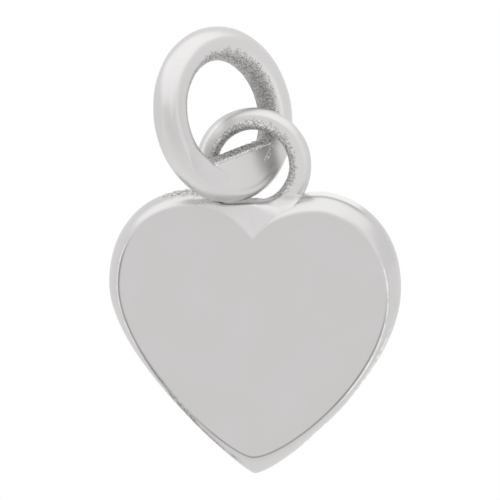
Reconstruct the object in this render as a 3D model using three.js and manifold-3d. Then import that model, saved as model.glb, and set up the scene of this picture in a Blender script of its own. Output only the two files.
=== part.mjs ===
// Silver heart charm: a cast heart, a wire eye soldered into its cleft and a jump ring linked through it.
// Millimetres, +Z up, the polished face towards -Y, the origin where a chain bears inside the jump ring.
import * as THREE from "three";
import { mergeVertices } from "three/addons/utils/BufferGeometryUtils.js";
import Module from "manifold-3d";

// Heart: heights are measured up from the tip, pulls are the handle lengths of its outline curves.
const HEART_THICKNESS = 1.8;
const RIM = {
  width: 10.1,
  lean: 0.05, // the left side stands this much higher, the right side this much lower
  skew: 0.22, // by how much the pulls along the right flank are longer, and along the left flank shorter
  sideHeight: 6.55,
  lobeX: 2.3,
  lobeHeight: 9.85,
  tipHeight: 0,
  cleftHeight: 8.75,
  tipPull: 0.54,
  flankPull: 2.85,
  sidePull: 2.5,
  crownPull: 0.85,
  dipPull: 1.2,
  cleftPullX: 0.45,
  cleftPullZ: 0.6,
};
const FACE = {
  width: 9.28,
  lean: 0.2,
  skew: 0.1,
  sideHeight: 6.45,
  lobeX: 2.28,
  lobeHeight: 9.23,
  tipHeight: 0.69,
  cleftHeight: 8.23,
  tipPull: 1.0,
  flankPull: 2.65,
  sidePull: 2.15,
  crownPull: 0.75,
  dipPull: 0.92,
  cleftPullX: 0.34,
  cleftPullZ: 0.56,
};
const RIM_DEPTH = 1.0; // from the face back to the widest line of the rim
const BACK_INSET = 0.35; // how far the rounded back edge draws in
const ARRIS_ANGLE = 38; // degrees that the rim falls away from the face at its crisp edge
const SOFT_FROM = 7.2; // above this height the edge softens
const SOFT_TO = 8.9; // and from here on the face rolls into the rim without an edge

// Eye: a closed wire ring standing on the floor of the cleft, in the plane of the heart.
const EYE_OUTER = 4.0;
const EYE_WIRE = 0.78;
const EYE_X = -0.04;
const EYE_CUT = 0.16;

// Solder that fills the cleft around the foot of the eye.
const FOOT_RISE = 0.2; // from the floor of the cleft to the middle of the solder
const FOOT_HALF = new THREE.Vector3(1.55, 0.88, 0.66);

// Jump ring: its wire crosses the plane of the eye at the crossing, and its plane leans from that of the eye.
const RING_OUTER = 6.11;
const RING_WIRE = 1.2;
const CROSSING_X = 0.08; // from the middle of the eye to the crossing
const LINK_PLAY = 0.31; // from the inside of the eye at its foot up to the jump ring
const AXIS_TILT = 15.7; // degrees that the line where the two planes meet tips to the left
const RING_LEAN = 49.9; // degrees between the two planes
const RING_OFFSET = 0.73; // from that line to the ring's centre
const RING_CUT = 0.2;
const CUT_ANGLE = 4; // degrees round the ring from its foot to the saw cut

// Solder left as a swelling inside the closed saw cut: along the wire, across the ring and along its radius.
const SWELL_HALF = new THREE.Vector3(1.4, 0.5, 0.65);
const SWELL_INSET = 0.5; // from the wire's centre line inwards to the middle of the swelling

const SEAT_CLEARANCE = 0.05; // between the heart, the eye and their solder
const CUT_CLEARANCE = 0.03; // between the jump ring and the solder in its cut

const OUTLINE_STEPS = 12; // points along each of the three curves in half an outline
const RIM_STEPS = 5;
const BACK_STEPS = 4;
const EYE_SIDES = 16;
const EYE_STEPS = 48;
const RING_SIDES = 20;
const RING_STEPS = 72;
const BEAD_SIDES = 24;
const BEAD_RINGS = 16;
const MERGE_WITHIN = 1e-4;

const eyeHeight = RIM.cleftHeight + EYE_OUTER / 2;
const crossingHeight = eyeHeight - EYE_OUTER / 2 + EYE_WIRE + LINK_PLAY + RING_WIRE / 2;

const wasm = await Module();
wasm.setup();

function solidOf(geometry) {
  const bare = geometry.clone();
  bare.deleteAttribute("normal");
  bare.deleteAttribute("uv");
  const merged = mergeVertices(bare, MERGE_WITHIN);
  return new wasm.Manifold(
    new wasm.Mesh({
      numProp: 3,
      vertProperties: new Float32Array(merged.attributes.position.array),
      triVerts: new Uint32Array(merged.index.array),
    }),
  );
}

function meshOf(name, solid, material) {
  const made = solid.getMesh();
  const geometry = new THREE.BufferGeometry();
  geometry.setAttribute("position", new THREE.BufferAttribute(made.vertProperties, 3));
  geometry.setIndex(new THREE.BufferAttribute(made.triVerts, 1));
  geometry.computeVertexNormals();
  const mesh = new THREE.Mesh(geometry, material);
  mesh.name = name;
  return mesh;
}

// Half a heart outline, drawn to the right, from the tip round the side and over the lobe to the cleft.
function halfOutline(o, skew) {
  const side = o.width / 2;
  const point = (x, z) => new THREE.Vector2(x, z);
  const curves = [
    new THREE.CubicBezierCurve(
      point(0, o.tipHeight),
      point(o.tipPull + skew, o.tipHeight),
      point(side, o.sideHeight - o.flankPull - skew),
      point(side, o.sideHeight),
    ),
    new THREE.CubicBezierCurve(
      point(side, o.sideHeight),
      point(side, o.sideHeight + o.sidePull),
      point(o.lobeX + o.crownPull, o.lobeHeight),
      point(o.lobeX, o.lobeHeight),
    ),
    new THREE.CubicBezierCurve(
      point(o.lobeX, o.lobeHeight),
      point(o.lobeX - o.dipPull, o.lobeHeight),
      point(o.cleftPullX, o.cleftHeight + o.cleftPullZ),
      point(0, o.cleftHeight),
    ),
  ];
  return curves.flatMap((curve) => curve.getPoints(OUTLINE_STEPS).slice(0, -1)).concat(curves[2].v3);
}

// Whole outline, anticlockwise as seen from the front, leaning, with every point moved out by grow.
function outline(o, grow) {
  const right = halfOutline(o, o.skew);
  const mirrored = halfOutline(o, -o.skew).slice(1, -1).reverse();
  const left = mirrored.map((p) => new THREE.Vector2(-p.x, p.y));
  const loop = right.concat(left).map((p) => new THREE.Vector2(p.x, p.y - (o.lean * 2 * p.x) / o.width));
  return loop.map((p, i) => {
    const before = loop[(i + loop.length - 1) % loop.length];
    const after = loop[(i + 1) % loop.length];
    const along = after.clone().sub(before).normalize();
    return new THREE.Vector2(p.x + along.y * grow, p.y - along.x * grow);
  });
}

// Skin through rings of points that run from the front to the back, closed by a flat face at each end.
function skin(rings) {
  const count = rings[0].length;
  const positions = rings.flatMap((ring) => ring.flatMap((p) => [p.x, p.y, p.z]));
  const index = [];
  for (let r = 0; r + 1 < rings.length; r++) {
    for (let i = 0; i < count; i++) {
      const front = r * count + i;
      const frontNext = r * count + ((i + 1) % count);
      index.push(front, front + count, frontNext, frontNext, front + count, frontNext + count);
    }
  }
  const flat = (ring) => THREE.ShapeUtils.triangulateShape(ring.map((p) => new THREE.Vector2(p.x, p.z)), []);
  const last = (rings.length - 1) * count;
  flat(rings[0]).forEach(([a, b, c]) => index.push(a, b, c));
  flat(rings.at(-1)).forEach(([a, b, c]) => index.push(last + a, last + c, last + b));
  const geometry = new THREE.BufferGeometry();
  geometry.setAttribute("position", new THREE.Float32BufferAttribute(positions, 3));
  geometry.setIndex(index);
  return geometry;
}

// The heart: its face outline swells back to the rim along an elliptic edge, then draws in to a flat back.
function heartSolid(grow) {
  const face = outline(FACE, grow);
  const rim = outline(RIM, grow);
  const back = outline(RIM, grow - BACK_INSET);
  const front = -HEART_THICKNESS / 2 - grow;
  const depth = RIM_DEPTH + grow;
  const backDepth = HEART_THICKNESS - RIM_DEPTH + grow;
  const rings = [];
  for (let step = 0; step <= RIM_STEPS; step++) {
    rings.push(
      face.map((p, i) => {
        const soft = THREE.MathUtils.smoothstep(p.y, SOFT_FROM, SOFT_TO);
        const start = THREE.MathUtils.degToRad(ARRIS_ANGLE * (1 - soft));
        const turn = THREE.MathUtils.lerp(start, Math.PI / 2, step / RIM_STEPS);
        const out = (Math.sin(turn) - Math.sin(start)) / (1 - Math.sin(start));
        const fall = (Math.cos(start) - Math.cos(turn)) / Math.cos(start);
        const at = p.clone().lerp(rim[i], out);
        return new THREE.Vector3(at.x, front + depth * fall, at.y);
      }),
    );
  }
  for (let step = 1; step <= BACK_STEPS; step++) {
    const turn = ((Math.PI / 2) * step) / BACK_STEPS;
    rings.push(
      rim.map((p, i) => {
        const at = p.clone().lerp(back[i], 1 - Math.cos(turn));
        return new THREE.Vector3(at.x, front + depth + backDepth * Math.sin(turn), at.y);
      }),
    );
  }
  return solidOf(skin(rings));
}

// A wire ring in the XZ plane about the origin.
function wireRing(outer, wire, grow, sides, steps) {
  const ring = new THREE.TorusGeometry((outer - wire) / 2, wire / 2 + grow, sides, steps);
  return ring.rotateX(Math.PI / 2);
}

// A saw blade through the wire of such a ring, turned round it from its foot towards +X.
function sawBlade(outer, wire, width, angle) {
  const blade = new THREE.BoxGeometry(width, 2 * wire, 2 * wire);
  blade.translate(0, 0, -(outer - wire) / 2);
  return blade.rotateY(-THREE.MathUtils.degToRad(angle));
}

function bead(half) {
  return new THREE.SphereGeometry(1, BEAD_SIDES, BEAD_RINGS).scale(half.x, half.y, half.z);
}

function eyeWire(grow) {
  return solidOf(wireRing(EYE_OUTER, EYE_WIRE, grow, EYE_SIDES, EYE_STEPS).translate(EYE_X, 0, eyeHeight));
}

function eyeCut(width) {
  return solidOf(sawBlade(EYE_OUTER, EYE_WIRE, width, 0).translate(EYE_X, 0, eyeHeight));
}

const heart = heartSolid(0).subtract(eyeWire(SEAT_CLEARANCE));
const eye = eyeWire(0).subtract(eyeCut(EYE_CUT));
const foot = solidOf(bead(FOOT_HALF).translate(EYE_X, 0, RIM.cleftHeight + FOOT_RISE))
  .subtract(heartSolid(SEAT_CLEARANCE))
  .subtract(eyeWire(SEAT_CLEARANCE).subtract(eyeCut(EYE_CUT - 2 * SEAT_CLEARANCE)));

const ringWire = (grow) => solidOf(wireRing(RING_OUTER, RING_WIRE, grow, RING_SIDES, RING_STEPS));
const ringCut = (width) => solidOf(sawBlade(RING_OUTER, RING_WIRE, width, CUT_ANGLE));
const swellRadius = (RING_OUTER - RING_WIRE) / 2 - SWELL_INSET;
const swelling = solidOf(
  bead(SWELL_HALF).translate(0, 0, -swellRadius).rotateY(-THREE.MathUtils.degToRad(CUT_ANGLE)),
);
const jumpRing = ringWire(0).subtract(ringCut(RING_CUT));
const ringSolder = swelling
  .add(ringWire(0).intersect(ringCut(RING_CUT)))
  .subtract(ringWire(CUT_CLEARANCE).subtract(ringCut(RING_CUT - 2 * CUT_CLEARANCE)));

const silver = () => new THREE.MeshStandardMaterial({ color: 0xcfcecf, roughness: 0.22, metalness: 1 });
const solder = () => new THREE.MeshStandardMaterial({ color: 0xb4b1ad, roughness: 0.5, metalness: 1 });

const charm = new THREE.Group();
charm.add(
  meshOf("heart_body", heart, silver()),
  meshOf("eye_ring", eye, silver()),
  meshOf("eye_solder", foot, solder()),
);

// The link turns about its own Z axis, the line where the planes of the two rings meet.
const ringRadius = (RING_OUTER - RING_WIRE) / 2;
const ringRise = Math.sqrt(ringRadius ** 2 - RING_OFFSET ** 2);
const loop = new THREE.Group();
loop.position.set(-RING_OFFSET, 0, ringRise);
loop.add(meshOf("jump_ring", jumpRing, silver()), meshOf("jump_ring_solder", ringSolder, solder()));
const link = new THREE.Group();
link.position.set(EYE_X + CROSSING_X, 0, crossingHeight);
link.rotation.set(0, -THREE.MathUtils.degToRad(AXIS_TILT), THREE.MathUtils.degToRad(RING_LEAN));
link.add(loop);

// The chain bears on the inside of the jump ring at its crown.
link.updateMatrixWorld(true);
const hangPoint = loop.localToWorld(new THREE.Vector3(0, 0, RING_OUTER / 2 - RING_WIRE));
const part = new THREE.Group();
part.add(charm, link);
charm.position.sub(hangPoint);
link.position.sub(hangPoint);

export default part;
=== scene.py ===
import math
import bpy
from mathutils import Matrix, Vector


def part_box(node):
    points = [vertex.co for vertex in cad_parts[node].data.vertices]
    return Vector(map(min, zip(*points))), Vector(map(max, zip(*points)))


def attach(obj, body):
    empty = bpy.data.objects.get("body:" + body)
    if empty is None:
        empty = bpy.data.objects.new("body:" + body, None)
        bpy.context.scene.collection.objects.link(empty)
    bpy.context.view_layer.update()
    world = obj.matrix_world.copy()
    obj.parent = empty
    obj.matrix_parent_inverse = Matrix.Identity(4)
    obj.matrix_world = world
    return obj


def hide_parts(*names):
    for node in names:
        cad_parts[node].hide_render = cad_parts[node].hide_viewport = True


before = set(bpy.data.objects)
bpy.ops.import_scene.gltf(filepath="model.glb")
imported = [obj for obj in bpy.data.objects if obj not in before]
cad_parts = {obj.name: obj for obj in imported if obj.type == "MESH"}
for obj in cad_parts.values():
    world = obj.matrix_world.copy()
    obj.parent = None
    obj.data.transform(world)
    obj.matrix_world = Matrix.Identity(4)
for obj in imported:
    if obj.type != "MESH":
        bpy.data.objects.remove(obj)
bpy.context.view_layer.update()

from types import SimpleNamespace

import bpy
import mathutils
import numpy as np


# Heart. A solid heart cast in silver, filed flat in front and polished all over.
# Its edge is crisp along the flanks and the tip, where a shallow groove in the corner is darkened with a
# painted dark reflection, and rolls over softly on the lobes. The rim keeps casting skin, file nicks and
# crumbs that the wheel missed, and painted highlights lighten its sides and rolled edge.
MM = 0.001
THICKNESS = 1.8
RIM_DEPTH = 1.0
BACK_INSET = 0.35
ARRIS_ANGLE = math.radians(38)
ARRIS_WIDTH = 0.03
OUTLINE_STEPS = 130
RIM = dict(width=10.1, lean=0.05, skew=0.22, side=6.55, lobe_x=2.3, lobe=9.85, tip=0.0, cleft=8.75,
           tip_pull=0.54, flank_pull=2.85, side_pull=2.5, crown_pull=0.85, dip_pull=1.2,
           cleft_x=0.45, cleft_z=0.6)
FACE = dict(width=9.28, lean=0.2, skew=0.1, side=6.45, lobe_x=2.28, lobe=9.23, tip=0.69, cleft=8.23,
            tip_pull=1.0, flank_pull=2.65, side_pull=2.15, crown_pull=0.75, dip_pull=0.92,
            cleft_x=0.34, cleft_z=0.56)
HEART_MIDDLE = np.array([0.0, 5.4])
TIP_HEIGHTS = (0.2, 1.8)
heart_low, heart_high = np.array(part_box("heart_body")) / MM
heart_origin = np.append((heart_low + heart_high)[:2] / 2, heart_low[2])


def smooth(x, start, end):
    """Eases from 0 at start to 1 at end: 3 t squared less 2 t cubed, with t held between 0 and 1."""
    t = np.clip((x - start) / (end - start), 0, 1)
    return t * t * (3 - 2 * t)


def fading(x, start, end):
    """Eases from 1 at start to 0 at end: 1 less the smooth rise."""
    return 1 - smooth(x, start, end)


def band(x, start, full, fall, end):
    """Eases from 0 at start to 1 at full, and from fall back to 0 at end: a rise times a fade."""
    return smooth(x, start, full) * fading(x, fall, end)


def hump(x, middle, half):
    """Bell that is 1 at the middle: e to the power of minus the square of the distance in half widths."""
    return np.exp(-((x - middle) / half) ** 2)


def ripple(a, b, seed):
    """Uneven surface, mostly between -1 and 1: 1.8 times the mean of twelve sine waves of a and b, whose
    directions, phases and pitches are drawn."""
    waves, strength = 12, 1.8
    rng = np.random.default_rng(seed)
    turn, phase = rng.uniform(0, 2 * np.pi, (2, waves))
    pitch = rng.uniform(0.6, 2.2, waves)
    height = np.sin(pitch * (a[..., None] * np.cos(turn) + b[..., None] * np.sin(turn)) + phase)
    return height.mean(-1) * strength


def uneven(place, pitch, seed):
    """Uneven line: the ripple of a place along a line, times a pitch."""
    return ripple(pitch * place, 0 * place, seed)


def half_outline(o, skew, t):
    """Three cubic curves, tip to side, side to lobe and lobe to cleft: the four points of each are weighted
    by (1-t) cubed, 3 t (1-t) squared, 3 t squared (1-t) and t cubed."""
    weights = np.stack([(1 - t) ** 3, 3 * t * (1 - t) ** 2, 3 * t * t * (1 - t), t ** 3], 1)
    half = o["width"] / 2
    tip, side, lobe, cleft = (0, o["tip"]), (half, o["side"]), (o["lobe_x"], o["lobe"]), (0, o["cleft"])
    flank = [tip, (o["tip_pull"] + skew, o["tip"]), (half, o["side"] - o["flank_pull"] - skew), side]
    shoulder = [side, (half, o["side"] + o["side_pull"]), (o["lobe_x"] + o["crown_pull"], o["lobe"]), lobe]
    dip = [lobe, (o["lobe_x"] - o["dip_pull"], o["lobe"]), (o["cleft_x"], o["cleft"] + o["cleft_z"]), cleft]
    return np.concatenate([weights @ np.array(curve, float) for curve in (flank, shoulder, dip)])


def heart_outline(o):
    """Closed outline from the tip, anticlockwise from the front: the right half, then the left half mirrored,
    with the height lowered in proportion to x by the lean."""
    t = np.linspace(0, 1, OUTLINE_STEPS, endpoint=False)
    right = half_outline(o, o["skew"], t)
    left = half_outline(o, -o["skew"], np.append(t[1:], 1.0))[::-1] * (-1, 1)
    loop = np.concatenate([right, left])
    loop[:, 1] -= o["lean"] * 2 * loop[:, 0] / o["width"]
    return loop


def surface(name, rows, closed_rows=False, **values):
    """Mesh over a grid of points in mm, closed along each row; the rows close on themselves, or end in a
    point at the middle of the first and the last row. Each named array becomes a point attribute."""
    count, n = rows.shape[:2]
    i = np.arange(n)
    points = rows.reshape(-1, 3)
    row = np.arange(count if closed_rows else count - 1)[:, None]
    a, b = row * n + i, (row + 1) % count * n + i
    faces = np.stack([a, b, np.roll(b, -1, 1), np.roll(a, -1, 1)], -1).reshape(-1, 4).tolist()
    if not closed_rows:
        points = np.concatenate([points, rows[0].mean(0)[None], rows[-1].mean(0)[None]])
        first, last = np.full(n, count * n), np.full(n, count * n + 1)
        end = (count - 1) * n + i
        faces += np.stack([first, i, np.roll(i, -1)], 1).tolist()
        faces += np.stack([last, np.roll(end, -1), end], 1).tolist()
    mesh = bpy.data.meshes.new(name)
    mesh.from_pydata((points * MM).tolist(), [], faces)
    for key, value in values.items():
        value = value.reshape(-1)
        if not closed_rows:
            value = np.concatenate([value, [value[:n].mean(), value[-n:].mean()]])
        mesh.attributes.new(key, "FLOAT", "POINT").data.foreach_set("value", value.astype(np.float32))
    mesh.shade_smooth()
    piece = bpy.data.objects.new(name, mesh)
    bpy.context.scene.collection.objects.link(piece)
    return piece


face_line, rim_line = heart_outline(FACE), heart_outline(RIM)
ahead = np.roll(rim_line, -1, 0) - np.roll(rim_line, 1, 0)
rim_out = np.stack([ahead[:, 1], -ahead[:, 0]], 1) / np.linalg.norm(ahead, axis=1)[:, None]
to_middle = (HEART_MIDDLE - rim_line) / np.linalg.norm(HEART_MIDDLE - rim_line, axis=1)[:, None]
from_tip = smooth(rim_line[:, 1:], *TIP_HEIGHTS)
back_line = rim_line + (to_middle * (1 - from_tip) - rim_out * from_tip) * BACK_INSET

# Where the edge is worn, and where painted highlights and a painted dark reflection lie on it, as heights
# above the tip and places right of the middle in mm. Two numbers are the start and end of a fade, or the
# middle and half width of a bell (BELL); four are a band.
LOBE_ROLL = (7.2, 8.9)
RAGGED_FLANK = (1.9, 2.5, 3.4, 4.8)
LEFT_LINE_END, RIGHT_LINE_END = (7.3, 8.6), (4.6, 6.8)
CLEFT_SIDES, CLEFT_HEIGHTS = (1.6, 2.6), (6.0, 7.0)
PATCH_BELL = (2.5, 0.75)
# Painted highlights: bands along both sides of the rim, glints on the right flank, the right lobe's rolled
# top, and a sheen over the rolled rim that is held back on the right shoulder.
LEFT_HIGHLIGHT_END, LEFT_HIGHLIGHT_RISE, RIGHT_HIGHLIGHT = (7.7, 8.8), (3.6, 5.4), (2.2, 3.4, 7.0, 8.2)
LEFT_SCRATCH_START, LEFT_SCRATCH_END, RIGHT_SCRATCH_BELL = (0.3, 0.9), (2.0, 3.0), (3.6, 0.8)
GLINTS_BELL = (3.9, 0.9)
LOBE_TOP = (8.3, 8.8)
FULL_BELL = (-1.25, 0.75)
LIP_BAND = (1.4, 2.0, 3.3, 3.9)
CRUMBS_BELL, CRUMBS_TOP = (-2.55, 0.7), (8.4, 8.9)
UPPER_NICKS_BELL, LOWER_NICKS_BELL = (3.5, 0.5), (1.9, 0.35)
DULL_SHOULDER_BELL, DULL_SHOULDER_START = (4.0, 0.7), (6.9, 7.5)
# The corner line: a shallow groove along the arris, whose strength also sets how dark its painted reflection
# is.
LINE_AT, LINE_HALF, LINE_DEPTH, LINE_STRENGTH = -0.012, 0.032, 0.02, 0.62
LINE_WANDER = 0.02
# A painted sheen that lightens the whole rolled rim.
EDGE_SHEEN = 0.38
NICK_DEPTH = 0.035


def edge_wear_and_light():
    """How strong each mark is at each point of the heart's outline: worn skin, nicks, crumbs and tarnish, and
    painted highlights and a painted dark reflection. A mark is its fades and bells of the height and of x
    multiplied, on its own side of the heart, and most are broken up by an uneven line."""
    x, height = face_line.T
    left = x < 0
    along = np.cumsum(np.linalg.norm(np.diff(rim_line, axis=0, append=rim_line[:1]), axis=1))
    wear_and_light = SimpleNamespace(left=left, along=along, crisp=fading(height, *LOBE_ROLL))
    wear_and_light.ragged = np.where(left, band(height, *RAGGED_FLANK), 0)
    patch = np.where(left, hump(height, *PATCH_BELL), 0)
    wear_and_light.patch = patch * np.clip(0.8 + 0.5 * uneven(along, 12, 18), 0, 1)

    outside_cleft = 1 - fading(np.abs(x), *CLEFT_SIDES) * smooth(height, *CLEFT_HEIGHTS)
    # The corner line's strength sets its depth and how dark its painted dark reflection is.
    line = np.where(left, fading(height, *LEFT_LINE_END), fading(height, *RIGHT_LINE_END)) * outside_cleft
    line = line * (LINE_STRENGTH + 0.1 * wear_and_light.ragged + 0.1 * uneven(along, 3, 13))
    wear_and_light.line = line * (1 - 0.8 * wear_and_light.patch)
    wander = LINE_WANDER * wear_and_light.ragged * uneven(along, 15, 17)
    wear_and_light.line_at = LINE_AT + LINE_WANDER * wear_and_light.ragged + wander
    wear_and_light.line_half = LINE_HALF + LINE_WANDER * wear_and_light.ragged

    # Painted highlights: bands along both sides of the rim, a sheen over the rolled rim held back on the
    # right shoulder, glints on the right flank, and the right lobe's rolled top.
    left_highlight = fading(height, *LEFT_HIGHLIGHT_END) * (0.25 + 0.75 * smooth(height, *LEFT_HIGHLIGHT_RISE))
    rub = np.where(left, left_highlight, band(height, *RIGHT_HIGHLIGHT)) * outside_cleft
    wear_and_light.rub = rub * (0.8 + 0.4 * uneven(along, 14, 14))
    wear_and_light.polish = EDGE_SHEEN * (1 - hump(x, *DULL_SHOULDER_BELL) * smooth(height, *DULL_SHOULDER_START))
    wear_and_light.chips = np.where(left, 0, hump(height, *GLINTS_BELL)) * np.clip(0.5 + uneven(along, 16, 16), 0, 1)
    wear_and_light.lip = np.where(left, 0, band(x, *LIP_BAND) * smooth(height, *LOBE_TOP))

    left_scratch = smooth(-x, *LEFT_SCRATCH_START) * fading(height, *LEFT_SCRATCH_END)
    scratch = np.where(left, left_scratch, 0.6 * hump(height, *RIGHT_SCRATCH_BELL))
    wear_and_light.scratch = scratch * np.clip(0.8 + 0.6 * uneven(along, 9, 15), 0, 1)
    wear_and_light.crumbs = hump(x, *CRUMBS_BELL) * smooth(height, *CRUMBS_TOP)
    right_nicks = 0.5 * hump(height, *UPPER_NICKS_BELL) + 0.8 * hump(height, *LOWER_NICKS_BELL)
    wear_and_light.nicks = np.clip(np.where(left, 0.5 * wear_and_light.ragged, right_nicks) + wear_and_light.crumbs, 0, 1)
    wear_and_light.full = hump(x, *FULL_BELL) * smooth(height, *LOBE_TOP)
    return wear_and_light


# Rows of the heart's mesh, and where each mark lies on the edge: by its share of the way from the face to the
# rim (WAY), by its distance in mm from the arris (ACROSS), or by its angle behind the rim (BEHIND).
FACE_ROWS, EDGE_ROWS, BEHIND_ROWS, BACK_ROWS = 24, 46, 13, 8
FACE_CROWDING, EDGE_CROWDING = 0.7, 2.1
BORDER = (0.12, 0.085, 0.06, 0.045, 0.034, 0.026, 0.019, 0.012, 0.006)
FULL_POWER = 5
NICKS_WAY, NICKS_BEHIND = (0.55, 0.95), (0.3, 1.0)
CRUMBS_WAY, CRUMBS_BEHIND = (0.72, 0.9), (0.2, 1.1)
PATCH_ACROSS, PATCH_WAY = (0.012, 0.03), (0.45, 0.7)
PATCH_DARK_ACROSS, PATCH_DARK_WAY = (0.03, 0.055), (0.4, 0.65)
SCRATCH_WAY, SCRATCH_DARK_WAY = (0.58, 0.15), (0.58, 0.13)
RAGGED_ACROSS = (0.014, 0.03)
# Where the painted highlights and the dark line on the right lobe's top lie across the edge.
HIGHLIGHT_ACROSS, HIGHLIGHT_HALVES = 0.046, (0.022, 0.034)
GLINTS_WAY = (0.75, 0.12)
LIP_WAY, LIP_LINE_WAY = (0.87, 0.93), (0.86, 0.035)
SHEEN_WAY, SHEEN_BEHIND = (0.1, 0.3), (0.1, 0.7)


def heart_grid():
    """Grid of points with their skin and their dark (tarnish, black left from polishing and painted dark
    reflection), from the middle of the face to the middle of the back. Face:
    its outline drawn in to the middle. Edge: from the face to the rim along a quarter ellipse that starts at
    the arris angle and is eased in over the arris width, or along a curve of the fifth power where it is
    full. Behind the rim: a quarter ellipse to the inset back. The corner line is a narrow bell-shaped groove
    along the arris, darkened with a painted dark reflection, and nicks draw the rim in. Skin is 1 where it is
    bare, -1 where polished and down to -2 where a painted highlight lightens it."""
    wear_and_light = edge_wear_and_light()
    front = -THICKNESS / 2
    from_middle = face_line - HEART_MIDDLE
    reach = np.linalg.norm(from_middle, axis=1)

    def strip(xz, y, skin, stain=0.0):
        y, skin, stain = (np.broadcast_to(value, xz.shape[:2]) for value in (y, skin, stain))
        return np.stack([xz[..., 0], y, xz[..., 1], skin, stain], -1)

    # The corner line: a narrow groove along the arris whose strength also paints a dark reflection into it.
    def groove(across):
        return wear_and_light.line * hump(across, wear_and_light.line_at, wear_and_light.line_half)

    def dents(strength, place):
        return wear_and_light.nicks * strength * NICK_DEPTH * (1 + ripple(22 * wear_and_light.along, place, 12))

    share = np.linspace(0, 1, FACE_ROWS + 2)[1:-1, None, None] ** FACE_CROWDING
    face = strip(HEART_MIDDLE + from_middle * share * (1 - BORDER[0] / reach)[:, None], front, -1.0)
    inside = np.array(BORDER)[:, None]
    # The corner line reaches onto the face too, with its painted dark reflection.
    cut = groove(-inside)
    border = strip(HEART_MIDDLE + from_middle * (1 - inside / reach)[..., None],
                   front + LINE_DEPTH * cut, -1.0, cut)

    start = ARRIS_ANGLE * wear_and_light.crisp
    turn = start + (np.pi / 2 - start) * np.linspace(0, 1, EDGE_ROWS)[:, None] ** EDGE_CROWDING
    way = (np.sin(turn) - np.sin(start)) / (1 - np.sin(start))
    across = way * np.linalg.norm(rim_line - face_line, axis=1)
    fall = (np.cos(start) - np.cos(turn)) / np.cos(start)
    full = 1 - (1 - np.clip(way, 0, 1) ** FULL_POWER) ** (1 / FULL_POWER)
    fall = fall + wear_and_light.full * (full - fall)
    ease = 1 - np.exp(-across / ARRIS_WIDTH)
    cut = groove(across)
    dent = dents(smooth(way, *NICKS_WAY), 9 * way)
    skin = wear_and_light.crumbs * smooth(way, *CRUMBS_WAY)
    skin = skin + wear_and_light.patch * smooth(across, *PATCH_ACROSS) * fading(way, *PATCH_WAY)
    skin = skin + wear_and_light.scratch * hump(way, *SCRATCH_WAY)
    skin = skin + 0.75 * wear_and_light.ragged * (1 - wear_and_light.patch) * hump(across, *RAGGED_ACROSS)
    skin = np.clip(skin, 0, 1)
    # Painted highlights lighten the colour here: the side bands, the glints, the right lobe's top and the
    # sheen over the rim.
    rub = wear_and_light.rub * hump(across, HIGHLIGHT_ACROSS, np.where(wear_and_light.left, *HIGHLIGHT_HALVES))
    rub = rub + wear_and_light.chips * hump(way, *GLINTS_WAY) + 0.6 * wear_and_light.lip * smooth(way, *LIP_WAY)
    rub = rub + wear_and_light.polish * smooth(way, *SHEEN_WAY) * (1 - skin)
    # Black here: the painted dark reflection in the corner line, real tarnish on the patch and the left
    # scratches, and a dark line along the right lobe's top.
    stain = cut + 0.55 * wear_and_light.patch * smooth(across, *PATCH_DARK_ACROSS) * fading(way, *PATCH_DARK_WAY)
    stain = stain + 0.35 * wear_and_light.lip * hump(way, *LIP_LINE_WAY)
    stain = stain + 0.6 * wear_and_light.left * wear_and_light.scratch * hump(way, *SCRATCH_DARK_WAY)
    edge = strip(face_line + (rim_line - face_line) * way[..., None] - rim_out * dent[..., None],
                 front + RIM_DEPTH * fall * ease + LINE_DEPTH * cut, 2 * skin - rub - 1, stain)

    turn = np.linspace(0, np.pi / 2, BEHIND_ROWS + 1)[1:, None]
    dent = dents(fading(turn, *NICKS_BEHIND), 9 + 4 * turn)
    # Painted highlight behind the rim too: the right lobe's top and the sheen.
    rub = (0.6 * wear_and_light.lip + wear_and_light.polish * (1 - wear_and_light.crumbs)) * fading(turn, *SHEEN_BEHIND)
    inset = (back_line - rim_line) * (1 - np.cos(turn))[..., None]
    behind = strip(rim_line + inset - rim_out * dent[..., None],
                   front + RIM_DEPTH + (THICKNESS - RIM_DEPTH) * np.sin(turn),
                   1.4 * wear_and_light.crumbs * fading(turn, *CRUMBS_BEHIND) - rub - 1)
    share = np.linspace(1, 0, BACK_ROWS + 2)[1:-1, None, None]
    back = strip(HEART_MIDDLE + (back_line - HEART_MIDDLE) * share, THICKNESS / 2, -1.0)
    return np.concatenate([face, border, edge, behind, back])


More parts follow.
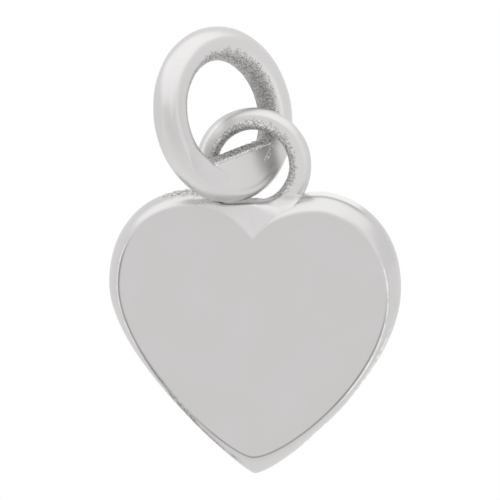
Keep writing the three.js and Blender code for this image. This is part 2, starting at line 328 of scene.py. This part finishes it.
def silver(name, skin_from, tone, skin_dark, skin_light, dullness=0.0):
    """Silver polished by hand. Where the skin attribute, broken up by grain, passes skin_from, the metal is
    bare casting skin, dark, rough and grainy. Elsewhere its shine varies in soft clouds, with faint wheel
    marks; below -1.2 a painted highlight lightens it towards a brighter silver. The second attribute is how
    much black is blended in: tarnish and polishing compound that is left, and painted dark reflections. Tone,
    skin_dark and skin_light are the brightness of the polished metal and of the darkest and the lightest
    grain, and dullness is added to the roughness of the polished metal."""
    material = bpy.data.materials.new(name)
    material.use_nodes = True
    nodes, links = material.node_tree.nodes, material.node_tree.links
    shader = nodes["Principled BSDF"]
    shader.inputs["Metallic"].default_value = 1.0
    where = nodes.new("ShaderNodeTexCoord")
    skin, stain = nodes.new("ShaderNodeAttribute"), nodes.new("ShaderNodeAttribute")
    skin.attribute_name, stain.attribute_name = "skin", "stain"

    def noise(scale, detail, stretch=(1, 1, 1), turn=(0, 0, 0)):
        mapping = nodes.new("ShaderNodeMapping")
        mapping.inputs["Scale"].default_value = stretch
        mapping.inputs["Rotation"].default_value = turn
        links.new(where.outputs["Object"], mapping.inputs["Vector"])
        node = nodes.new("ShaderNodeTexNoise")
        node.inputs["Scale"].default_value = scale
        node.inputs["Detail"].default_value = detail
        links.new(mapping.outputs["Vector"], node.inputs["Vector"])
        return node.outputs["Fac"]

    def tinted(level, tint):
        return tuple(level * t for t in tint) + (1.0,)

    def ramp(value, low, high, to_low, to_high):
        node = nodes.new("ShaderNodeMapRange")
        node.interpolation_type = "SMOOTHSTEP"
        for key, number in zip(("From Min", "From Max", "To Min", "To Max"), (low, high, to_low, to_high)):
            node.inputs[key].default_value = number
        links.new(value, node.inputs["Value"])
        return node.outputs["Result"]

    def total(a, b):
        node = nodes.new("ShaderNodeMath")
        links.new(a, node.inputs[0])
        links.new(b, node.inputs[1])
        return node.outputs["Value"]

    def blend(factor, a, b, kind):
        node = nodes.new("ShaderNodeMix")
        node.data_type = kind
        links.new(factor, node.inputs["Factor"])
        for side, key in ((a, "A"), (b, "B")):
            socket = next(s for s in node.inputs if s.name == key and s.enabled)
            if isinstance(side, bpy.types.NodeSocket):
                links.new(side, socket)
            else:
                socket.default_value = side
        return next(s for s in node.outputs if s.enabled)

    cool, warm = (1.0, 0.99, 0.978), (1.018, 0.995, 0.998)
    # A brighter silver for painted highlights, and a black for tarnish and polishing compound that also
    # paints dark reflections.
    highlight_colour, black_polish = (0.86, 0.86, 0.85, 1), (0.1, 0.098, 0.095, 1)
    raggedness, border = 0.16, 0.1
    smoothest, dullest, skin_roughness = 0.27 + dullness, 0.36 + dullness, 0.5
    mark_height, relief_strength, relief_depth = 0.012, 0.6, 0.00006
    noise_span, grain_span, shine_span, mark_span = (0.3, 0.7), (0.34, 0.66), (0.25, 0.75), (0.2, 0.8)
    highlight_full, highlight_start = -2.0, -1.2

    grain = noise(scale=16000.0, detail=4.0)
    pits = noise(scale=5600.0, detail=2.0)
    clouds = noise(scale=520.0, detail=3.0)
    marks = noise(scale=800.0, detail=2.0, stretch=(1.0, 8.0, 11.0), turn=(0.3, 0.5, 0.2))
    fine_edge = ramp(grain, *noise_span, -raggedness, raggedness)
    coarse_edge = ramp(pits, *noise_span, -raggedness, raggedness)
    ragged_skin = total(skin.outputs["Fac"], total(fine_edge, coarse_edge))
    bare = ramp(ragged_skin, skin_from - border, skin_from + border, 0.0, 1.0)
    bright = blend(ramp(clouds, *noise_span, 0.0, 1.0), tinted(tone, cool), tinted(tone, warm), "RGBA")
    # Painted highlight: where the skin value is below -1.2 the colour is lightened towards a brighter silver.
    bright = blend(ramp(skin.outputs["Fac"], highlight_full, highlight_start, 1.0, 0.0), bright, highlight_colour, "RGBA")
    lightness = ramp(grain, *grain_span, 0.0, 1.0)
    dark = blend(lightness, tinted(skin_dark, cool), tinted(skin_light, cool), "RGBA")
    # Black blended in by the second attribute: tarnish, polishing compound, and painted dark reflections.
    colour = blend(stain.outputs["Fac"], blend(bare, bright, dark, "RGBA"), black_polish, "RGBA")
    links.new(colour, shader.inputs["Base Color"])
    shine = ramp(clouds, *shine_span, smoothest, dullest)
    links.new(blend(bare, shine, skin_roughness, "FLOAT"), shader.inputs["Roughness"])
    relief = blend(bare, ramp(marks, *mark_span, 0.0, mark_height), grain, "FLOAT")
    bump = nodes.new("ShaderNodeBump")
    bump.inputs["Strength"].default_value = relief_strength
    bump.inputs["Distance"].default_value = relief_depth
    links.new(relief, bump.inputs["Height"])
    links.new(bump.outputs["Normal"], shader.inputs["Normal"])
    return material


grid = heart_grid()
heart = surface("heart", grid[..., :3] + heart_origin, skin=grid[..., 3], stain=grid[..., 4])
heart_silver = silver("polished_silver_heart", skin_from=0.0, tone=0.57, skin_dark=0.2, skin_light=0.85)
heart.data.materials.append(heart_silver)
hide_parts("heart_body")
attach(heart, "charm")


# Eye. A ring of silver wire that stands in the cleft, its joint buried in the solder.
# Outside and in front it is polished, with a flat filed in front and a small mark of tarnish at the upper
# left; the inside keeps the dark skin of the drawn and heated wire.
EYE_OUTER = 4.0
EYE_WIRE = 0.78
EYE_FLAT = 0.345
EYE_WORN, EYE_WAVE, EYE_WAVES = 0.008, 0.006, 6
EYE_MARK_BELL, EYE_MARK = (3.65, 0.17), 0.18
eye_low, eye_high = np.array(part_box("eye_ring")) / MM
eye_middle = np.append((eye_low + eye_high)[:2] / 2, eye_high[2] - EYE_OUTER / 2)
eye_radius = (EYE_OUTER - EYE_WIRE) / 2
RIGHT, UP = np.eye(3)[[0, 2]]


def wire_angles(around, sides):
    """Grid of the given angles around a ring and of even angles about its wire, which start outside the ring
    and pass the back, the inside and the front."""
    return np.meshgrid(around, np.linspace(0, 2 * np.pi, sides, endpoint=False), indexing="ij")


def wire_thickness(around, about, wire, worn, wave, waves, seed):
    """Half the wire, less what is worn off, plus a low ripple of the sines and cosines of both angles, so
    that it closes on itself."""
    a = waves * np.sin(around) + 2 * np.cos(about)
    b = waves * np.cos(around) + 2 * np.sin(about)
    return wire / 2 - worn + wave * ripple(a, b, seed)


def wire_ring(middle, across, up, radius, around, outward, sideways):
    """Points of a ring: the middle, plus the ring's radius and the outward distance along the direction
    around the ring, plus the sideways distance along the ring's axis. The angle around starts at the foot."""
    axis = np.cross(up, across)
    out = np.sin(around)[..., None] * across - np.cos(around)[..., None] * up
    return middle + (radius + outward)[..., None] * out + sideways[..., None] * axis


def filed(sideways, flat, corner=0.012):
    """Distance to the front cut down to the flat: the larger of the two, with its corner rounded."""
    return (sideways - flat + np.sqrt((sideways + flat) ** 2 + corner ** 2)) / 2


around, about = wire_angles(np.linspace(0, 2 * np.pi, 360, endpoint=False), 72)
thick = wire_thickness(around, about, EYE_WIRE, EYE_WORN, EYE_WAVE, EYE_WAVES, seed=3)
eye_points = wire_ring(eye_middle, RIGHT, UP, eye_radius, around, thick * np.cos(about),
                       filed(thick * np.sin(about), EYE_FLAT))
left_side, outside, in_front = -np.sin(around), np.cos(about), -np.sin(about)
# The skin reaches further out at the left and the top, and is gone from the front of the left side.
eye_skin = -outside + 0.22 * left_side - 0.12 * np.cos(around) + 0.25 * smooth(left_side, 0.6, 1.0)
left_front = smooth(in_front, 0.4, 0.9) * smooth(outside, -0.35, 0.1) * smooth(left_side, 0.2, 0.7)
eye_skin = eye_skin - 1.7 * left_front
eye_stain = EYE_MARK * hump(around, *EYE_MARK_BELL) * smooth(in_front, -0.2, 0.5)
eye = surface("eye", eye_points, closed_rows=True, skin=eye_skin, stain=eye_stain)
eye_silver = silver("polished_silver_eye", skin_from=0.15, tone=0.63, skin_dark=0.36, skin_light=0.78,
                    dullness=0.12)
eye.data.materials.append(eye_silver)
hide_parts("eye_ring")
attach(eye, "charm")


# Solder at the foot of the eye. It was run into the cleft and wetted both the wire and the lobes, so it draws
# up round the wire and lies nearly flush with the face in the point of the cleft. It was cleaned up in front
# with the rest; on top, under the jump ring, it is still dark.
FILL_TOP = 0.82
FILL_FALL = (0.02, 0.5)
FILL_HALF = 0.91
FILL_SUNK, FILL_SPREAD = 0.05, 0.14
FILL_CORNER = 0.04
RIGHT_SIDE, RIGHT_SOFTER = (0.0, 0.7), 0.10
DRAWN_UP = 0.15
WETTING = 0.06
FILLET = 0.40
FILLET_SUNK = 0.035
CREASE = 0.05
WETTING_SHRINK, FILLET_SHRINK, CREASE_SHRINK = 0.65, 0.06, 0.02
LEFT_THINNING, LEFT_END = 0.3, (-0.5, 0.8)
UPPER_THINNING, UPPER_START = 0.3, (0.5, 1.6)
BACK_THINNING, BACK_START = 0.24, (-0.6, 0.2)
FACE_THINNING, FACE_START = 0.12, (0.70, 0.92)
FOOT_DEGREES = (-66, 80)
FOOT_REACH, FOOT_WIDER, FOOT_MIDDLE = 0.75, 0.8, (0.45, 1.05)
FIRST_STEP = 0.2


def joined(fields, soft):
    """Outside distance of the union of several forms with soft inner corners: minus the softness times the
    logarithm of the sum of e to the power of minus each distance over the softness."""
    limit = 60
    return -soft * np.log(np.exp(np.clip(-np.stack(fields) / soft, -limit, limit)).sum(0))


def heart_depth(x, y, z, face_z, rim_z, back_z):
    """How far a place near the cleft is outside the heart: the distance in the oval of the edge, which is 1
    on its surface, less 1 and over its steepness. The oval's power is 2, or up to 5 where it is full."""
    behind = y - (RIM_DEPTH - THICKNESS / 2)
    low = np.where(behind < 0, face_z, back_z)
    deep = np.where(behind < 0, RIM_DEPTH, THICKNESS - RIM_DEPTH)
    power = 2 + (FULL_POWER - 2) * hump(x, *FULL_BELL) * (behind < 0)
    up, back = np.maximum((z - low) / (rim_z - low), 0), np.abs(behind) / deep
    oval = (up ** power + back ** power) ** (1 / power)
    steep = np.hypot((up / oval) ** (power - 1) / (rim_z - low), (back / oval) ** (power - 1) / deep)
    return (oval - 1) / steep


def outside_solder(x, y, z, around):
    """How far a place is outside the solder. The fill is the part of the cleft above the face's outline,
    below an arched top and within its half depth; it is drawn up the wire and wets the heart, more softly at
    the right. A wider fillet joins the wire to the fill and the heart. It is thinned at the left, up the
    wire, towards the back and in front of the face, by adding to its distance there."""
    cleft = slice(2 * OUTLINE_STEPS, 4 * OUTLINE_STEPS)
    face_z, rim_z, back_z = (np.interp(x, line[cleft][::-1, 0], line[cleft][::-1, 1])
                             for line in (face_line, rim_line, back_line))
    eye_x, _, eye_z = eye_middle - heart_origin
    round_wire = np.hypot(np.hypot(x - eye_x, z - eye_z) - eye_radius, y) - EYE_WIRE / 2
    wire = np.maximum(round_wire, -y - EYE_FLAT)
    heart_out = heart_depth(x, y, z, face_z, rim_z, back_z)
    right = smooth(x, *RIGHT_SIDE)
    top = eye_z - EYE_OUTER / 2 + FILL_TOP - np.where(x < 0, *FILL_FALL) * x ** 2
    above_face = z - face_z + FILL_SUNK - FILL_SPREAD * right
    fill = -joined([FILL_HALF - np.abs(y), top - z, above_face], FILL_CORNER + RIGHT_SOFTER * right)
    wetting = WETTING + RIGHT_SOFTER * right
    solder = joined([joined([wire, fill], DRAWN_UP), heart_out], wetting) + WETTING_SHRINK * wetting
    thinning = LEFT_THINNING * fading(x, *LEFT_END) + UPPER_THINNING * smooth(around, *UPPER_START)
    thinning = thinning + BACK_THINNING * smooth(y, *BACK_START) + FACE_THINNING * smooth(-y, *FACE_START)
    filled_heart = joined([heart_out, fill], CREASE) + FILLET_SUNK
    fillet = joined([wire, filled_heart], FILLET) + FILLET_SHRINK * FILLET + thinning
    return joined([solder, fillet], CREASE) + CREASE_SHRINK


def foot_rows(count=140, sides=120, steps=90):
    """Rows of points and their skin: in each direction about the wire, the point where the solder is first
    left. It lies between the last step inside and the first outside, in proportion to their distances. The
    skin is bare on top, inside the ring, and a little more at the back."""
    around, about = wire_angles(np.radians(np.linspace(*FOOT_DEGREES, count)), sides)
    reach = FOOT_REACH + FOOT_WIDER * fading(np.abs(around), *FOOT_MIDDLE)
    step = np.linspace(FIRST_STEP, 1, steps)
    far = reach[..., None] * step
    at = wire_ring(eye_middle - heart_origin, RIGHT, UP, eye_radius, around[..., None],
                   far * np.cos(about)[..., None], far * np.sin(about)[..., None])
    distance = outside_solder(*np.moveaxis(at, -1, 0), around[..., None])
    out = distance > 0
    is_left = out.any(-1)
    index = np.clip(np.where(is_left, out.argmax(-1), steps - 1), 1, None)[..., None]
    before, after = (np.take_along_axis(distance, index - k, -1)[..., 0] for k in (1, 0))
    part = np.where(is_left, np.clip(-before / np.where(after == before, 1, after - before), 0, 1), 1)
    radius = reach * (step[index[..., 0] - 1] + part * (step[1] - step[0]))
    points = wire_ring(eye_middle, RIGHT, UP, eye_radius, around,
                       radius * np.cos(about), radius * np.sin(about))
    return points, -np.cos(about) + 0.25 * np.sin(about)


rows, foot_skin = foot_rows()
foot = surface("eye_foot", rows, skin=foot_skin)
foot_solder = silver("silver_solder_foot", skin_from=0.80, tone=0.64, skin_dark=0.2, skin_light=0.6,
                     dullness=0.12)
foot.data.materials.append(foot_solder)
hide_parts("eye_solder")
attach(foot, "charm")


# Jump ring. A heavier ring of round silver wire threaded through the eye and leaning on it.
# Its near flank was filed flat over the joint. It is polished where the wheel reached, darker on the inside
# of the right side and on the outside of the left side, and dark and grainy inside.
RING_OUTER = 6.11
RING_WIRE = 1.2
AXIS_TILT = math.radians(15.7)
RING_LEAN = math.radians(49.9)
RING_FLAT, FLAT_MIDDLE, FLAT_END = 0.445, -0.1, (0.85, 1.3)
RING_WORN, RING_WAVE, RING_WAVES = 0.012, 0.010, 7
INNER_DARKENING, INNER_DARKENING_BELL = 0.36, (1.6, 0.8)
OUTER_DARKENING, OUTER_DARKENING_BELL = 0.13, (-1.7, 0.75)
ring_up = np.array([-math.sin(AXIS_TILT), 0, math.cos(AXIS_TILT)])
ring_across = np.array([math.cos(RING_LEAN) * math.cos(AXIS_TILT), math.sin(RING_LEAN),
                        math.cos(RING_LEAN) * math.sin(AXIS_TILT)])
ring_middle = -(RING_OUTER / 2 - RING_WIRE) * ring_up
ring_radius = (RING_OUTER - RING_WIRE) / 2
around, about = wire_angles(np.linspace(-np.pi, np.pi, 480, endpoint=False), 96)
thick = wire_thickness(around, about, RING_WIRE, RING_WORN, RING_WAVE, RING_WAVES, seed=5)
off_joint = smooth(np.abs(around - FLAT_MIDDLE), *FLAT_END)
flat = RING_FLAT + (RING_WIRE / 2 - RING_FLAT) * off_joint
ring_points = wire_ring(ring_middle, ring_across, ring_up, ring_radius, around, thick * np.cos(about),
                        filed(thick * np.sin(about), flat))
outside = np.cos(about)
# The skin reaches a little further out at the top, and much less far at the left.
# On the outer left the skin value falls below -1.2, so a faint painted highlight lightens the colour there.
ring_skin = -outside + 0.10 * np.cos(around + 2.6) - 0.5 * smooth(-np.sin(around), 0.2, 0.7)
# Darker on the inside of the right side and, less, on the outside of the left side.
ring_stain = INNER_DARKENING * hump(around, *INNER_DARKENING_BELL) * smooth(-outside, 0.4, 0.8)
ring_stain = ring_stain + OUTER_DARKENING * hump(around, *OUTER_DARKENING_BELL) * smooth(outside, -0.5, 0.4)
ring = surface("jump_ring_wire", ring_points, closed_rows=True, skin=ring_skin, stain=ring_stain)
ring_silver = silver("polished_silver_ring", skin_from=0.6, tone=0.635, skin_dark=0.32, skin_light=0.68)
ring.data.materials.append(ring_silver)
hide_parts("jump_ring")
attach(ring, "link")


# Closing joint of the jump ring. Solder closed the saw cut and ran across the inside of the ring at its foot.
# Its near side was filed flush with the wire, which left a bright ragged burr along its straight upper edge;
# behind the burr its top is still rough and dark.
BURR_RISE = 1.45
CREST_RISE = 1.29
JOINT_PROUD = 0.012
JOINT_HALF = math.radians(43)
JOINT_TURN = math.radians(2)
JOINT_STEPS, JOINT_SIDES = 170, 128
COARSE_BURR, FINE_BURR, CREST_WAVE = 0.022, 0.012, 0.03
NEAR_DRAWN_IN, NEAR_ENDS = 0.03, (0.15, 0.72)
BURR_LEAN, BURR_LEAN_WAVE = 0.028, 0.02
ROUGH_TOP, ROUGH_HEIGHT = (0.44, 0.5, 0.78, 0.84), 0.018


def closed_curve(points, count):
    """Closed smooth curve through each row of points: between two points, half of 2 b + (c - a) t
    + (2 a - 5 b + 4 c - d) t squared + (3 b - a - 3 c + d) t cubed, with a to d the four points around."""
    n = points.shape[1]
    u = np.linspace(0, n, count, endpoint=False)
    i = u.astype(int)
    t = (u - i)[None, :, None]
    a, b, c, d = (points[:, (i + k) % n] for k in (-1, 0, 1, 2))
    return (2 * b + (c - a) * t + (2 * a - 5 * b + 4 * c - d) * t ** 2 + (3 * b - a - 3 * c + d) * t ** 3) / 2


# The joint's section at each angle around the ring, as places along the ring's axis, near side first, and
# heights from the middle of the wire towards the middle of the ring.
around = np.linspace(-JOINT_HALF, JOINT_HALF, JOINT_STEPS) + JOINT_TURN
burr = ring_radius - BURR_RISE / np.cos(around)
burr = burr + COARSE_BURR * uneven(around, 38, 21) + FINE_BURR * uneven(around, 110, 23)
crest = ring_radius - CREST_RISE / np.cos(around) + CREST_WAVE * uneven(around, 25, 22)
near = -(RING_FLAT + JOINT_PROUD) + NEAR_DRAWN_IN * smooth(np.abs(around), *NEAR_ENDS)
tip = near - BURR_LEAN - BURR_LEAN_WAVE * uneven(around, 60, 24)
level = 0 * around
filed_side = [(near + 0.12, level - 0.36), (near, level - 0.18), (near, level + 0.12), (near, burr - 0.20),
              (near, burr - 0.07)]
burr_edge = [(tip, burr - 0.005), (tip + 0.035, burr + 0.035), (near + 0.10, burr + 0.02),
             (near + 0.22, burr + 0.07)]
rough_top = [(level - 0.05, (burr + crest) / 2 + 0.06), (level + 0.15, crest), (level + 0.34, crest - 0.08)]
far_side = [(level + 0.48, crest - 0.32), (level + 0.545, level + 0.15), (level + 0.45, level - 0.25),
            (level, level - 0.4)]
profile = np.stack([np.stack(place, 1) for place in filed_side + burr_edge + rough_top + far_side], 1)
section = closed_curve(profile, JOINT_SIDES)
spread, share = np.meshgrid(around, np.linspace(0, 1, JOINT_SIDES, endpoint=False), indexing="ij")
rough = band(share, *ROUGH_TOP)
section = section + (ROUGH_HEIGHT * rough * ripple(50 * spread, 60 * share, 25))[..., None]
joint_points = wire_ring(ring_middle, ring_across, ring_up, ring_radius, spread, -section[..., 1],
                         section[..., 0])
joint = surface("ring_joint", joint_points, skin=2 * rough - 1)
joint_solder = silver("silver_solder_joint", skin_from=0.0, tone=0.645, skin_dark=0.22, skin_light=0.6)
joint.data.materials.append(joint_solder)
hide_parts("jump_ring_solder")
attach(joint, "link")


# Studio. A white room and a white table well below the hanging charm, with a broad soft light overhead, a
# soft strip at each side and a narrow one in front, and the camera a little to the right and above.
TABLE = 0.5
TABLE_Z = -0.12
WHITE, PAPER_WHITE = (1, 1, 1, 1), (0.84, 0.84, 0.84, 1)
scene = bpy.context.scene
scene.view_settings.view_transform = "Standard"
world = bpy.data.worlds.new("white_room")
scene.world = world
world.use_nodes = True
world.node_tree.nodes["Background"].inputs["Color"].default_value = WHITE
world.node_tree.nodes["Background"].inputs["Strength"].default_value = 1.0

table_mesh = bpy.data.meshes.new("table")
table_mesh.from_pydata([(-TABLE, -TABLE, TABLE_Z), (TABLE, -TABLE, TABLE_Z), (TABLE, TABLE, TABLE_Z),
                        (-TABLE, TABLE, TABLE_Z)], [], [(0, 1, 2, 3)])
table = bpy.data.objects.new("table", table_mesh)
scene.collection.objects.link(table)
paper = bpy.data.materials.new("white_paper")
paper.use_nodes = True
paper.node_tree.nodes["Principled BSDF"].inputs["Base Color"].default_value = PAPER_WHITE
paper.node_tree.nodes["Principled BSDF"].inputs["Roughness"].default_value = 0.9
table.data.materials.append(paper)


def soft_light(name, place, aim, width, height, glow):
    """Rectangular lamp at a place in metres, turned to shine at the aim. Its power is its glow, the light
    that it adds to the white room, times pi and its area."""
    lamp = bpy.data.lights.new(name, "AREA")
    lamp.shape = "RECTANGLE"
    lamp.size = width
    lamp.size_y = height
    lamp.energy = glow * math.pi * width * height
    item = bpy.data.objects.new(name, lamp)
    item.location = place
    ray = mathutils.Vector(aim) - mathutils.Vector(place)
    item.rotation_euler = ray.to_track_quat("-Z", "Y").to_euler()
    scene.collection.objects.link(item)


CHARM = (0, 0, -0.006)
soft_light("overhead", (-0.1, -0.35, 0.55), (-0.1, -0.35, 0.0), width=1.7, height=1.4, glow=0.38)
soft_light("left_strip", (-0.34, -0.26, 0.0), CHARM, width=0.10, height=0.4, glow=0.12)
soft_light("front_strip", (0.10, -0.46, 0.20), CHARM, width=0.035, height=0.22, glow=0.6)
soft_light("right_strip", (0.36, -0.24, 0.0), CHARM, width=0.12, height=0.4, glow=0.3)

AZIMUTH, ELEVATION = math.radians(5), math.radians(8)
DISTANCE = 0.4
AIM = mathutils.Vector((0.00138340, 0.00055839, -0.00656303))
FRAME_PIXELS, PIXELS_PER_MM = 500, 29
SENSOR_WIDTH = 36
sight = mathutils.Vector((-math.sin(AZIMUTH) * math.cos(ELEVATION), math.cos(AZIMUTH) * math.cos(ELEVATION),
                          -math.sin(ELEVATION)))
camera_data = bpy.data.cameras.new("camera")
camera_data.lens = SENSOR_WIDTH * DISTANCE / (FRAME_PIXELS / PIXELS_PER_MM * MM)
camera_data.clip_end = 10
camera = bpy.data.objects.new("camera", camera_data)
camera.location = AIM - sight * DISTANCE
camera.rotation_euler = sight.to_track_quat("-Z", "Y").to_euler()
scene.collection.objects.link(camera)
scene.camera = camera
